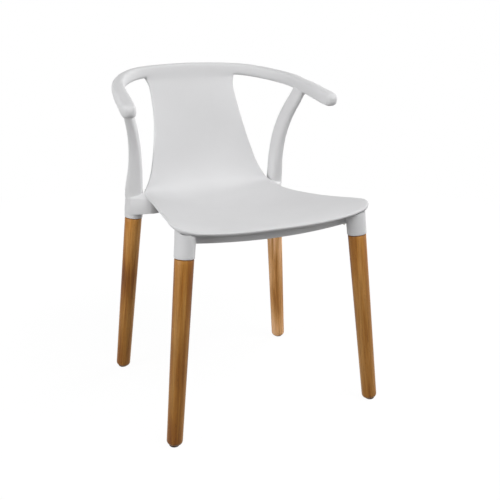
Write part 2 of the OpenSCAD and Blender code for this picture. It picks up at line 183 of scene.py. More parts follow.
def on_bow(t):
    across, depth, rise, thick, high = spline(BOW_ROWS, t)
    return np.array([across, depth, SEAT_HEIGHT + rise]), thick, high


BOW_END = len(BOW_ROWS) - 1
fine_t = np.linspace(0, BOW_END, 1101)
fine_points = np.array([on_bow(t)[0] for t in fine_t])
fine_length = np.concatenate([[0], np.cumsum(np.linalg.norm(np.diff(fine_points, axis=0), axis=1))])
CORNERS = 16
FULLER = 1 / 0.9746      # subdivision draws a ring of 16 in by this much


def soft(value, squareness):
    return math.copysign(abs(value) ** (2 / squareness), value)


def section(centre, across, along, width, height, squareness):
    """A ring of the cage: an ellipse at squareness 2, a rounded rectangle above it."""
    points = []
    for k in range(CORNERS):
        a = 2 * math.pi * k / CORNERS
        points.append(centre + FULLER * (across * (width / 2 * soft(math.cos(a), squareness))
                                         + along * (height / 2 * soft(math.sin(a), squareness))))
    return points


def bow_ring(t, reach=0.0, shrink=1.0):
    centre, thick, high = on_bow(t)
    ahead, behind = on_bow(min(t + 0.02, BOW_END))[0], on_bow(max(t - 0.02, 0))[0]
    along = unit(ahead - behind) if t > 0 else np.array([1.0, 0.0, 0.0])
    across = unit(np.cross(along, UP))
    return section(centre + along * reach, across, np.cross(across, along), thick * shrink, high * shrink, 3)


def t_at_length(length):
    return float(np.interp(length, fine_length, fine_t))


def length_at_depth(depth):
    return float(np.interp(-depth, -fine_points[:, 1], fine_length))


cage = []
quads = []


def add(point):
    cage.append(np.array(point, float))
    return len(cage) - 1


# stations along the bow: nine over the sheet's columns, then on round the arm to its end
COLUMNS = [0, 0.15, 0.3, 0.45, 0.6, 0.74, 0.86, 0.95, 1]
PANEL_TOP = 119.5        # half width of the panel where it meets the bow
POST_REAR, POST_FRONT = 125.5, 92.0    # depth of the post's two sides under the arm
panel_t = [float(np.interp(u * PANEL_TOP, fine_points[:, 0], fine_t)) for u in COLUMNS]
arm_start = float(np.interp(panel_t[-1], fine_t, fine_length)) + 10
rear_length, front_length = length_at_depth(POST_REAR), length_at_depth(POST_FRONT)
lengths = list(np.linspace(arm_start, rear_length, 16))
rear_station = len(panel_t) + len(lengths) - 1
lengths += list(np.linspace(rear_length, front_length, 5)[1:])
lengths += list(np.linspace(front_length, float(fine_length[-1]), 9)[1:])
rings = [bow_ring(t) for t in panel_t] + [bow_ring(t_at_length(length)) for length in lengths]
for turn in TIP_TURNS:
    a = math.radians(turn)
    rings.append(bow_ring(BOW_END, TIP * soft(math.sin(a), 2.2), soft(math.cos(a), 2.2)))

# the panel's sitting side runs flush into the bow's front, less so toward the windows' corners
last_column = len(COLUMNS) - 1
for s in range(last_column + 1):
    centre = on_bow(panel_t[s])[0]
    flush = 1 - 0.7 * ease((s - 5) / 3)
    for k, down in ((14, 0.76), (15, 0.42)):
        front = rings[s][0] + (rings[s][12] - centre) * down
        rings[s][k] = rings[s][k] + (front - rings[s][k]) * flush

# corners 10 to 14 of a ring are its underside: left open over the panel and over the post
bow = [[add(p) for p in ring] for ring in rings]
for s in range(len(bow) - 1):
    for k in range(CORNERS):
        in_panel = s < last_column and 10 <= k <= 13
        in_post = rear_station <= s < rear_station + 4 and 11 <= k <= 14
        if not in_panel and not in_post:
            n = (k + 1) % CORNERS
            quads.append((bow[s][k], bow[s + 1][k], bow[s + 1][n], bow[s][n]))
quads.append(tuple(reversed(bow[-1])))

# the sheet: both sides, the half-round edge along its side, and the lip
ROWS = [0, 0.45, 0.9, 1.4, 1.9, 2.4, 2.9, 3.4, 4, 4.5, 5, 5.5, 6, 6.5, 7, 7.5, 8, 8.5, 9, 9.35, 9.7,
        10, 10.25, 10.5, 10.75, 11, 11.25, 11.5, 11.75, 12, 12.35, 12.7, 13, 13.3, 13.6, 14,
        14.35, 14.7, 15, 15.35, 15.7, 16, 16.4, 16.75, 17.1, 17.38, 17.62]
EDGE_FULLER = 1 / 0.9024               # subdivision draws a half-round edge of five points in by this much
EDGE_REACH = 4.2         # the most that the edge bulges out
WAIST = 16               # row from which on the edge is that of the plain sheet


def edge_points(u, v, out):
    """The three points between both sides of the rounded edge; in front it is fullest near the top."""
    n = through(u, v)
    whole = thickness(u, v)
    above = whole * (0.5 - 0.16 * ease((4.5 - v) / 2))
    reach = min(whole / 2, SHEET / 2 if v > WAIST else EDGE_REACH)
    points = []
    for a in (45, 90, 135):
        c, s = math.cos(math.radians(a)), math.sin(math.radians(a))
        up_or_down = above if a < 90 else whole - above
        points.append(face(u, v) - n * above + EDGE_FULLER * (out * reach * s + n * up_or_down * c))
    return points


def outward(u, v, step):
    return unit(np.cross(step, through(u, v)))


top = [[add(face(u, v)) for u in COLUMNS] for v in ROWS] + [[ring[14] for ring in bow[:last_column + 1]]]
below = [[add(under(u, v)) for u in COLUMNS] for v in ROWS] + [[ring[10] for ring in bow[:last_column + 1]]]
for j in range(len(ROWS)):
    for i in range(last_column):
        quads.append((top[j][i], top[j][i + 1], top[j + 1][i + 1], top[j + 1][i]))
        quads.append((below[j][i], below[j + 1][i], below[j + 1][i + 1], below[j][i + 1]))

side = []
for j, v in enumerate(ROWS):
    if j == 0:
        step = face(1, ROWS[1]) - face(COLUMNS[-2], 0)
    else:
        step = face(1, v + 0.1) - face(1, v - 0.1)
    side.append([top[j][-1]] + [add(p) for p in edge_points(1, v, outward(1, v, step))] + [below[j][-1]])
side.append([bow[last_column][k] for k in (14, 13, 12, 11, 10)])
lip = []
for i, u in enumerate(COLUMNS[:-1]):
    step = face(u + 0.02, 0) - face(u - 0.02, 0)
    lip.append([top[0][i]] + [add(p) for p in edge_points(u, 0, outward(u, 0, step))] + [below[0][i]])
lip.append(side[0])
for strip in (side, lip):
    for a, b in zip(strip, strip[1:]):
        for q in range(4):
            quads.append((a[q], a[q + 1], b[q + 1], b[q]))

# the rear post, from the opening in the arm's underside down to the socket and up its bore
REAR_FOOT = np.array([228.0, 212.2, 0.0])
REAR_RIM = np.array([192.5, 180.1, 406.0])
rear_axis = unit(REAR_RIM - REAR_FOOT)
POST_SWEEP = unit(np.array([0.43, -0.9, 0.0]))     # the way that the post's long side faces
POST_STATIONS = (9.68, 9.5, 9.1, 8.7, 8.2, 7.7, 7.2, 6.7, 6.3, 5.9, 5.5, 5.1, 4.7, 4.3, 3.9, 3.5, 3.1, 2.7,
                 2.3, 1.9, 1.5, 1.2, 0.95, 0.7, 0.4, 0.05)
SOCKET = 45.0
COLLAR = 43.6            # the socket steps in a little 12 mm above its rim
BORE = 33.6
# down the outside of the socket and up its bore: height over the rim, and diameter
SOCKET_RINGS = ((51.5, SOCKET - 1.4), (50.4, SOCKET), (46, SOCKET), (36, SOCKET), (25, SOCKET), (15, SOCKET),
                (12.6, SOCKET), (12.1, COLLAR), (10.5, COLLAR), (5, COLLAR), (1.2, COLLAR), (0.15, COLLAR),
                (0, COLLAR - 1.2), (0, BORE + 1), (0.4, BORE), (3, BORE), (14, BORE), (38, BORE), (41, BORE),
                (42, BORE))


def on_post(t):
    across, depth, rise, long_side, short_side = spline(POST_ROWS, t)
    return np.array([across, depth, SEAT_HEIGHT + rise]), long_side, short_side


# round the opening: across its front end, back along its inner side, its rear end, and its outer side
opening = bow[rear_station:rear_station + 5]
post = [[opening[4][13], opening[4][14], opening[4][15], opening[3][15], opening[2][15], opening[1][15],
         opening[0][15], opening[0][14], opening[0][13], opening[0][12], opening[0][11], opening[1][11],
         opening[2][11], opening[3][11], opening[4][11], opening[4][12]]]
for t in POST_STATIONS:
    centre, long_side, short_side = on_post(t)
    along = unit(on_post(t + 0.05)[0] - on_post(t - 0.05)[0])
    flat = unit(POST_SWEEP - along * POST_SWEEP.dot(along))
    post.append([add(p) for p in section(centre, flat, np.cross(flat, along), long_side, short_side, 2.8)])
flat = unit(POST_SWEEP - rear_axis * POST_SWEEP.dot(rear_axis))
for height, diameter in SOCKET_RINGS:
    centre = REAR_RIM + rear_axis * height
    post.append([add(p) for p in section(centre, flat, np.cross(flat, rear_axis), diameter, diameter, 2)])
for a, b in zip(post, post[1:]):
    for k in range(CORNERS):
        n = (k + 1) % CORNERS
        quads.append((a[k], a[n], b[n], b[k]))
quads.append(tuple(post[-1]))

# the mirrored half shares the points in the middle plane
points = np.array(cage)
points[:, 1] += DEPTH_SHIFT
middle = np.abs(points[:, 0]) < 1e-6
twin = np.where(middle, np.arange(len(points)), np.cumsum(~middle) - 1 + len(points))
all_points = np.concatenate([points, points[~middle] * [-1, 1, 1]])
all_quads = quads + [tuple(int(twin[i]) for i in reversed(q)) for q in quads]

cage_mesh = bpy.data.meshes.new("shell_cage")
cage_mesh.from_pydata((all_points * MM).tolist(), [], all_quads)
caged = bpy.data.objects.new("shell_cage", cage_mesh)
bpy.context.collection.objects.link(caged)
smooth = caged.modifiers.new("smooth", "SUBSURF")
smooth.levels = smooth.render_levels = 2
bpy.context.view_layer.update()
smoothed = bpy.data.meshes.new_from_object(caged.evaluated_get(bpy.context.evaluated_depsgraph_get()))
skin_points = [v.co.copy() for v in smoothed.vertices]
skin_faces = [tuple(p.vertices) for p in smoothed.polygons]
shell_tree = BVHTree.FromPolygons(skin_points, skin_faces)
bpy.data.objects.remove(caged)


def skin(rings, points, faces, closed=True):
    """Adds a tube of faces through rings of points (in millimetres) to a mesh's lists, its ends closed."""
    count, first = len(rings[0]), len(points)
    for ring in rings:
        points.extend(Vector(p) * MM for p in ring)
    for j in range(len(rings) - 1):
        for i in range(count):
            a, b = first + j * count + i, first + j * count + (i + 1) % count
            faces.append((a, b, b + count, a + count))
    if closed:
        faces.append(tuple(first + i for i in reversed(range(count))))
        faces.append(tuple(first + (len(rings) - 1) * count + i for i in range(count)))


def both_sides(rings):
    """A set of rings and its mirror image, wound the same way."""
    return [rings, [[(-p[0], p[1], p[2]) for p in reversed(ring)] for ring in rings]]


# two ribs under the seat's bend tie the rear sockets together: they hang from the sheet, rounded below
RIB_LOW = SEAT_HEIGHT - 46.3
WALL = 3.5
ROUND = 1.2              # rounding of a wall's lower corners
ROUND_MIDDLE = 0.35      # and how far in its middle lies


def lower_corners(low, near, far):
    """The rounded lower end of a standing wall, in depth and height."""
    return [(near, low + ROUND), (near + ROUND_MIDDLE, low + ROUND_MIDDLE), (near + ROUND, low),
            (far - ROUND, low), (far - ROUND_MIDDLE, low + ROUND_MIDDLE), (far, low + ROUND)]


def wall_section(low, high, near, far):
    return [(near, high)] + lower_corners(low, near, far) + [(far, high)]


# front and rear rib: place along the rows in the middle, how much farther at the sides, and reach across
for v_middle, v_bend, reach in ((9.85, 1.0, 0.97), (10.75, 0.1, 1.0)):
    rings = []
    for i in range(-24, 25):
        u = reach * i / 24
        v = v_middle + v_bend * u * u
        hang = face(u, v) - face_normal(u, v) * SHEET / 2
        outline = wall_section(RIB_LOW, hang[2], -WALL / 2, WALL / 2)
        rings.append([(hang[0], hang[1] + DEPTH_SHIFT + d, z) for d, z in outline])
    skin(rings, skin_points, skin_faces)


def underside(x, depth):
    """Height of the sheet's underside over a point."""
    hit = shell_tree.ray_cast(Vector((x, depth + DEPTH_SHIFT, 400)) * MM, Vector((0, 0, 1)))
    return hit[0].z / MM if hit[0] else None


# the ear between the seat's rim and the rear socket: a shelf level with the socket's top, open below, between
# a wall that touches the socket in front and a second one behind; the front wall runs on under the sheet
EAR_TOP = 457.5          # height of the shelf
EAR_BACK = 188           # depth of the second wall
EAR_CREST_BACK, EAR_CREST_UP = 22, 10  # the shelf climbs so far to lie flush with the sheet, then falls again
EAR_RIM, EAR_LOW = 168, 421.4          # at the seat's rim the lower edge is this high,
EAR_FALL = 0.19                        # and it falls by this for each millimetre outward
# along the ear and along the wall under the sheet: across, and depth of the front
EAR_FRONT = ((164.5, 126.4), (168, 128.3), (172, 131), (177, 135.4), (185, 142.7), (194, 151), (203.2, 159.4))
SHEET_WALL_FRONT = ((138, 133), (144, 128.8), (151, 126), (158, 125.2), (163, 125.9), (166.3, 127.5))
SHEET_WALL_LOW = 421.5
LEAN_OUT, LEAN_BACK = 0.087, 0.079     # the socket leans on its way down, and the ear with it,
LEAN_NONE, LEAN_FULL = 165, 203.2      # not at all at its inner end and fully at its outer one
rings = []
for x, front in EAR_FRONT:
    low = EAR_LOW - EAR_FALL * (x - EAR_RIM)
    crest, high = front + EAR_CREST_BACK, EAR_TOP + EAR_CREST_UP
    outline = [(front, low + ROUND), (front, EAR_TOP - 1.6), (front + 0.5, EAR_TOP - 0.5),
               (front + 1.6, EAR_TOP + 0.2), (crest - 3, high - 0.8), (crest, high), (crest + 3, high - 1),
               (EAR_BACK - 1, EAR_TOP - 1), (EAR_BACK, EAR_TOP - 2), (EAR_BACK, low + ROUND),
               (EAR_BACK - ROUND_MIDDLE, low + ROUND_MIDDLE), (EAR_BACK - ROUND, low),
               (EAR_BACK - WALL + 0.5, low), (EAR_BACK - WALL, low + 0.5), (EAR_BACK - WALL, EAR_TOP - 5),
               (crest, high - 4), (front + WALL, EAR_TOP - 3), (front + WALL, low + 0.5),
               (front + WALL - 0.5, low), (front + ROUND, low), (front + ROUND_MIDDLE, low + ROUND_MIDDLE)]
    share = max(0, (x - LEAN_NONE) / (LEAN_FULL - LEAN_NONE))
    rings.append([(x + share * LEAN_OUT * (EAR_TOP - z), d + share * LEAN_BACK * (EAR_TOP - z) + DEPTH_SHIFT, z)
                  for d, z in reversed(outline)])
for half in both_sides(rings):
    skin(half, skin_points, skin_faces)
rings = []
for x, front in SHEET_WALL_FRONT:
    outline = wall_section(SHEET_WALL_LOW, underside(x, front + 2) + SHEET / 2, front, front + WALL)
    rings.append([(x, d + DEPTH_SHIFT, z) for d, z in outline])
for half in both_sides(rings):
    skin(half, skin_points, skin_faces)


def linear(hex_colour):
    """An sRGB hex colour as the linear values a shader takes."""
    channels = [int(hex_colour[i:i + 2], 16) / 255 for i in (1, 3, 5)]
    return [c / 12.92 if c <= 0.04045 else ((c + 0.055) / 1.055) ** 2.4 for c in channels] + [1.0]


def node(tree, kind, settings=None, links=None):
    """Adds a shader node: settings are its options or unlinked inputs, links its inputs from other nodes."""
    made = tree.nodes.new(kind)
    for name, value in (settings or {}).items():
        if isinstance(name, str) and hasattr(made, name):
            setattr(made, name, value)
        else:
            made.inputs[name].default_value = value
    for name, source in (links or {}).items():
        tree.links.new(source, made.inputs[name])
    return made


def two_tones(ramp, *stops):
    """Sets a ramp's two ends: position and colour of each."""
    for element, (position, colour) in zip(ramp.color_ramp.elements, stops):
        element.position = position
        element.color = linear(colour)


def new_material(name):
    material = bpy.data.materials.new(name)
    material.use_nodes = True
    material.node_tree.nodes.clear()
    return material, material.node_tree


def per_metre(size):
    """Scale of a pattern whose features are this many millimetres wide."""
    return 1 / (size * MM)


# white polypropylene, moulded in a spark-eroded tool: it looks satin, with soft broad highlights, and its white
# is faintly uneven over a hand's width
CLOUD = 111.1            # the uneven patches
SPARK = 1.111            # the tool's grain, some ten times coarser than it is, so that it shows at all
white_plastic, tree = new_material("satin_white_polypropylene")
place = node(tree, "ShaderNodeTexCoord")
cloud = node(tree, "ShaderNodeTexNoise", {"Scale": per_metre(CLOUD), "Detail": 3.0},
             {"Vector": place.outputs["Object"]})
tone = node(tree, "ShaderNodeValToRGB", links={"Fac": cloud.outputs["Fac"]})
two_tones(tone, (0.3, "#DBDBDC"), (0.7, "#DEDEDF"))
spark = node(tree, "ShaderNodeTexNoise", {"Scale": per_metre(SPARK), "Detail": 2.0},
             {"Vector": place.outputs["Object"]})
grainy = node(tree, "ShaderNodeBump", {"Strength": 0.06, "Distance": 0.2 * MM},
              {"Height": spark.outputs["Fac"]})
shader = node(tree, "ShaderNodeBsdfPrincipled", {"Roughness": 0.6, "IOR": 1.49},
              {"Base Color": tone.outputs["Color"], "Normal": grainy.outputs["Normal"]})
node(tree, "ShaderNodeOutputMaterial", links={"Surface": shader.outputs["BSDF"]})

SHARP = math.radians(38)               # faces that meet at more than this keep a sharp edge


def new_piece(name, points, faces, material):
    """An object from points in metres and faces."""
    mesh = bpy.data.meshes.new(name)
    mesh.from_pydata([tuple(p) for p in points], [], faces)
    mesh.polygons.foreach_set("use_smooth", [True] * len(mesh.polygons))
    mesh.set_sharp_from_angle(angle=SHARP)
    mesh.materials.append(material)
    piece = bpy.data.objects.new(name, mesh)
    bpy.context.collection.objects.link(piece)
    return piece


shell = new_piece("moulded_shell", skin_points, skin_faces, white_plastic)
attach(shell, "root")
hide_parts("seat_back_shell")

# ---------------------------------------------------------------- front bracket: apron and front leg sockets
# A second polypropylene moulding, screwed up under the seat's front edge: a bowed apron of U section between
# two sockets for the front legs. Its top follows the seat's underside half a millimetre below it.

FRONT_FOOT = np.array([248.6, -217.5, 0.0])
FRONT_RIM = np.array([207.6, -197.05, 410.0])
front_axis = unit(FRONT_RIM - FRONT_FOOT)
GAP = 0.5                # between the bracket and the seat's underside
APRON_FACE = -205        # depth of its middle
APRON_RADIUS = 1080      # of its bow, in plan
APRON_DEPTH = 30         # over both walls of the U
APRON_END = 195          # it runs so far to either side
LOWER_EDGE = 428.3       # height in the middle
EDGE_BOW = 5400          # the lower edge climbs by the square of the distance over this
WEB_TOP = 445            # top of the web between the walls
STEPS = 32

bracket_points, bracket_faces = [], []
rings = []
for i in range(-STEPS, STEPS + 1):
    x = APRON_END * i / STEPS
    near = APRON_FACE + APRON_RADIUS - math.sqrt(APRON_RADIUS**2 - x * x)
    far = near + APRON_DEPTH
    low = LOWER_EDGE + x * x / EDGE_BOW
    wall = near + WALL
    outline = ([(near, underside(x, near) - GAP)] + lower_corners(low, near, wall)
               + [(wall, WEB_TOP - WALL), (far - WALL, WEB_TOP - WALL)] + lower_corners(low, far - WALL, far)
               + [(far, WEB_TOP), (wall, WEB_TOP), (wall, underside(x, wall) - GAP)])
    rings.append([(x, d + DEPTH_SHIFT, z) for d, z in outline])
skin(rings, bracket_points, bracket_faces)

side_way = unit(np.cross(front_axis, [0, 1, 0]))
depth_way = np.cross(front_axis, side_way)


def on_socket(height, radius, angle):
    """A point round the front socket's axis; its height is measured from the rim."""
    p = FRONT_RIM + front_axis * height + radius * (side_way * math.cos(angle) + depth_way * math.sin(angle))
    return p[0], p[1] + DEPTH_SHIFT, p[2]


# the socket's wall ends just under the sheet, found by looking up along it
SEGMENTS = 96
LOOK_FROM = 10
TOP_GAP = 1.5
TALLEST = 75             # what is found beyond this lies past the sheet's edge,
FALLBACK = 50            # and the wall then ends as it does beside that place, or here
FLARE = 1.2 / 80         # the socket widens this much on its way up
tops = []
for k in range(SEGMENTS):
    start = on_socket(LOOK_FROM, COLLAR / 2 + 0.15, 2 * math.pi * k / SEGMENTS)
    hit = shell_tree.ray_cast(Vector(start) * MM, Vector(front_axis))
    tops.append(LOOK_FROM + hit[3] / MM - TOP_GAP if hit[0] else None)
for k in range(SEGMENTS):
    if tops[k] is None or tops[k] > TALLEST:
        tops[k] = tops[k - 1] or FALLBACK
flat_top = min(tops) - 1

# down the bore, round the rim, up the outside and over the closed top: share of the way from the height to
# the socket's top, radius and height
rings = []
for share, radius, height in ([(0, BORE / 2, 42), (0, BORE / 2, 0.8), (0, BORE / 2 + 0.8, 0),
                               (0, COLLAR / 2 - 1, 0), (0, COLLAR / 2 - 0.3, 0.3), (0, COLLAR / 2, 1)]
                              + [(f, COLLAR / 2, 1) for f in (0.1, 0.25, 0.4, 0.55, 0.7, 0.85, 1)]
                              + [(1, COLLAR / 2 - 1.5, 1), (0, 12, flat_top), (0, 4, flat_top)]):
    ring = []
    for k in range(SEGMENTS):
        h = height + share * (tops[k] - height)
        ring.append(on_socket(h, radius + share * FLARE * h, 2 * math.pi * k / SEGMENTS))
    rings.append(ring)
for half in both_sides(rings):
    skin(half, bracket_points, bracket_faces)

bracket = new_piece("front_bracket", bracket_points, bracket_faces, white_plastic)
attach(bracket, "root")
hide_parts("front_leg_bracket")

# ---------------------------------------------------------------- legs
# Four beech legs, turned with a taper and a rounded foot, each with a slimmer tenon in its socket. They stand
# on soles that are sawn level with the floor, over the glides.

LEG_TOP = 41.2           # diameter at the socket
LEG_FOOT = 34.6          # and above the rounded foot
TENON = 33
TENON_LENGTH = 41
FOOT_ROUND = 10.5
GLIDE = 4                # height of the glide under the sawn sole
SHOULDER = 1.8           # the leg's shoulder stays this far below the socket's rim, and is rounded below it
TAPER_FROM, TAPER_TO = 3.2, 14         # the taper runs from this far below the rim to this far above the foot
TAPER_STEPS = 40
LEG_SEGMENTS = 64

# steamed beech under a satin lacquer: a warm brown with darker growth streaks and fine fibres along the leg,
# short dark flecks, and a soft sheen; the widths are across the leg, the shares are of width to length
STREAK, STREAK_SHARE = 10.53, 0.035
FIBRE = 1.613            # as slender as a streak
FLECK, FLECK_SHARE = 1.111, 0.16
ZONE, ZONE_SHARE = 62.5, 0.3           # broad darker and paler lengths
TOWARD_SOCKET_FROM, TOWARD_SOCKET_TO = 250, 400        # the tone changes toward the socket between these distances from the foot; on the rear left leg it is painted shade
PALE_BAND_TO, FULL_COLOUR_FROM = 5.2, 6.2       # the leg is paler up to here, and of its full colour from here
beech, tree = new_material("lacquered_steamed_beech")
place = node(tree, "ShaderNodeAttribute", {"attribute_name": "grain"})
# the leg's tone from its object colour; on the rear left leg it is mostly painted light
leg_tint_and_light = node(tree, "ShaderNodeObjectInfo")
streak_way = node(tree, "ShaderNodeMapping", {"Scale": (1, 1, STREAK_SHARE)},
                  {"Vector": place.outputs["Vector"]})
fleck_way = node(tree, "ShaderNodeMapping", {"Scale": (1, 1, FLECK_SHARE)}, {"Vector": place.outputs["Vector"]})
zone_way = node(tree, "ShaderNodeMapping", {"Scale": (1, 1, ZONE_SHARE)}, {"Vector": place.outputs["Vector"]})
streaks = node(tree, "ShaderNodeTexNoise",
               {"Scale": per_metre(STREAK), "Detail": 4.0, "Roughness": 0.6, "Distortion": 0.6},
               {"Vector": streak_way.outputs["Vector"]})
fibres = node(tree, "ShaderNodeTexNoise", {"Scale": per_metre(FIBRE), "Detail": 3.0, "Roughness": 0.65},
              {"Vector": streak_way.outputs["Vector"]})
flecks = node(tree, "ShaderNodeTexNoise", {"Scale": per_metre(FLECK), "Detail": 1.0},
              {"Vector": fleck_way.outputs["Vector"]})
zones = node(tree, "ShaderNodeTexNoise", {"Scale": per_metre(ZONE), "Detail": 1.0},
             {"Vector": zone_way.outputs["Vector"]})
figure = node(tree, "ShaderNodeMix", {"Factor": 0.5},
              {"A": streaks.outputs["Fac"], "B": zones.outputs["Fac"]})
ground = node(tree, "ShaderNodeValToRGB", links={"Fac": figure.outputs["Result"]})
for position, colour in ((0.38, "#7A4610"), (0.46, "#986122"), (0.53, "#B07936"), (0.63, "#C4904F")):
    ground.color_ramp.elements.new(position).color = linear(colour)
ground.color_ramp.elements.remove(ground.color_ramp.elements[0])
ground.color_ramp.elements.remove(ground.color_ramp.elements[-1])
fibre_shade = node(tree, "ShaderNodeMapRange",
                   {"From Min": 0.35, "From Max": 0.7, "To Min": 0.8, "To Max": 1.1},
                   {"Value": fibres.outputs["Fac"]})
fleck_shade = node(tree, "ShaderNodeMapRange",
                   {"From Min": 0.64, "From Max": 0.72, "To Min": 1.0, "To Max": 0.72},
                   {"Value": flecks.outputs["Fac"]})
shade = node(tree, "ShaderNodeMath", {"operation": "MULTIPLY"},
             {0: fibre_shade.outputs["Result"], 1: fleck_shade.outputs["Result"]})
grain = node(tree, "ShaderNodeVectorMath", {"operation": "SCALE"},
             {0: ground.outputs["Color"], "Scale": shade.outputs["Value"]})
toned = node(tree, "ShaderNodeVectorMath", {"operation": "MULTIPLY"},
             {0: grain.outputs["Vector"], 1: leg_tint_and_light.outputs["Color"]})
# toward the socket three legs get paler, and the rear left leg darker, which is painted shade from the seat
# above it
height = node(tree, "ShaderNodeSeparateXYZ", links={"Vector": place.outputs["Vector"]})
toward_socket = node(tree, "ShaderNodeMapRange",
             {"From Min": TOWARD_SOCKET_FROM * MM, "From Max": TOWARD_SOCKET_TO * MM, "To Min": 1.0},
             {"Value": height.outputs["Z"], "To Max": leg_tint_and_light.outputs["Alpha"]})
toward_socket_applied = node(tree, "ShaderNodeVectorMath", {"operation": "SCALE"},
               {0: toned.outputs["Vector"], "Scale": toward_socket.outputs["Result"]})
# the leg is paler in a thin band just above its glide
pale_band = node(tree, "ShaderNodeMapRange",
            {"From Min": PALE_BAND_TO * MM, "From Max": FULL_COLOUR_FROM * MM, "To Min": 1.0, "To Max": 0.0},
            {"Value": height.outputs["Z"]})
wood = node(tree, "ShaderNodeMix", {"data_type": "RGBA", 7: linear("#D9BE9A")},
            {0: pale_band.outputs["Result"], 6: toward_socket_applied.outputs["Vector"]})
relief = node(tree, "ShaderNodeBump", {"Strength": 0.12, "Distance": 0.3 * MM},
              {"Height": shade.outputs["Value"]})
sheen = node(tree, "ShaderNodeMapRange", {"To Min": 0.38, "To Max": 0.52}, {"Value": fibres.outputs["Fac"]})
shader = node(tree, "ShaderNodeBsdfPrincipled",
              {"Specular IOR Level": 0.25, "Coat Weight": 0.06, "Coat Roughness": 0.3},
              {"Base Color": wood.outputs[2], "Normal": relief.outputs["Normal"],
               "Roughness": sheen.outputs["Result"]})
node(tree, "ShaderNodeOutputMaterial", links={"Surface": shader.outputs["BSDF"]})

# foot, socket's rim, side, turn of the grain in degrees, and the leg's tone with, last, what that is multiplied
# by at the socket; the rear left leg's tone is painted light, far above the others, for light that the seat
# keeps from it
LEGS = {"front_left": (FRONT_FOOT, FRONT_RIM, 1, 20, (0.94, 0.92, 0.9, 1.32)),
        "front_right": (FRONT_FOOT, FRONT_RIM, -1, 140, (0.8, 0.77, 0.66, 1.32)),
        # painted light: this leg's tone is raised to stand in for the light that the seat keeps from it
        "rear_left": (REAR_FOOT, REAR_RIM, 1, 70, (2.4, 3.1, 7.5, 0.75)),
        "rear_right": (REAR_FOOT, REAR_RIM, -1, 330, (0.95, 0.92, 0.85, 1.32))}
for name, (foot, rim_point, side, turn, tone_and_painted_light) in LEGS.items():
    foot = Vector((foot[0] * side, foot[1] + DEPTH_SHIFT, 0))
    rim_point = Vector((rim_point[0] * side, rim_point[1] + DEPTH_SHIFT, rim_point[2]))
    length = (rim_point - foot).length
    # down the leg's outline from the end of the tenon: distance from the foot along the axis, and radius
    outline = [(length + TENON_LENGTH, TENON / 2 - 2), (length + TENON_LENGTH - 0.6, TENON / 2 - 0.6),
               (length + TENON_LENGTH - 2, TENON / 2), (length - SHOULDER, TENON / 2),
               (length - SHOULDER, LEG_TOP / 2 - 1.4), (length - SHOULDER - 0.4, LEG_TOP / 2 - 0.5),
               (length - TAPER_FROM, LEG_TOP / 2)]
    for i in range(1, TAPER_STEPS):
        share = i / TAPER_STEPS
        outline.append((length - TAPER_FROM - (length - TAPER_FROM - TAPER_TO) * share,
                        (LEG_TOP + (LEG_FOOT - LEG_TOP) * share) / 2))
    # the rounded foot runs a little below the sole, where it is sawn off
    outline += [(GLIDE - 0.6 + FOOT_ROUND * (1 - math.sin(a)), LEG_FOOT / 2 - FOOT_ROUND * (1 - math.cos(a)))
                for a in np.linspace(0, math.pi / 2, 10)] + [(3, 2)]
    stand = Matrix.Translation(foot * MM) @ (rim_point - foot).to_track_quat("Z", "Y").to_matrix().to_4x4()
    upright = stand.to_3x3() @ Vector((0, 0, 1))
    rings = []
    for height, radius in reversed(outline):
        ring = []
        for k in range(LEG_SEGMENTS):
            a = 2 * math.pi * k / LEG_SEGMENTS
            p = Vector((radius * math.cos(a), radius * math.sin(a), height))
            # the sole is level with the floor, on top of its glide
            low = (stand @ (p * MM)).z / MM - GLIDE
            if low < 0:
                p.z -= low / upright.z
            ring.append(p)
        rings.append(ring)
    points, faces = [], []
    skin(rings, points, faces)
    leg = new_piece(name + "_beech_leg", [stand @ p for p in points], faces, beech)
    # the grain's own frame: along the leg, each leg cut from elsewhere in the board
    turned = Matrix.Rotation(math.radians(turn), 4, "Z")
    board_place = Vector((foot[0] * 2.3, foot[1] * 3.1, 0)) * MM
    grain_frame = leg.data.attributes.new("grain", "FLOAT_VECTOR", "POINT")
    for index, p in enumerate(points):
        grain_frame.data[index].vector = turned @ p + board_place
    # the leg's tone, which on the rear left leg is painted light
    leg.color = tone_and_painted_light
    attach(leg, "root")
    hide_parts(name + "_leg")

# ---------------------------------------------------------------- glides
# A nylon glide is nailed under each foot: a domed disc with a dished middle round the nail's head, so that the
# chair slides and the sawn sole stays dry.

# down from the dish, out over the dome and in across the flat top: radius and height over the floor
GLIDE_OUTLINE = ((1.4, 2.2), (2.8, 1.2), (4.2, 0.5), (5.2, 0.1), (6.0, 0.0), (7.2, 0.2), (8.6, 0.8),
                 (9.8, 1.6), (10.7, 2.6), (11.1, 3.5), (10.9, 3.9), (1.4, 3.9))

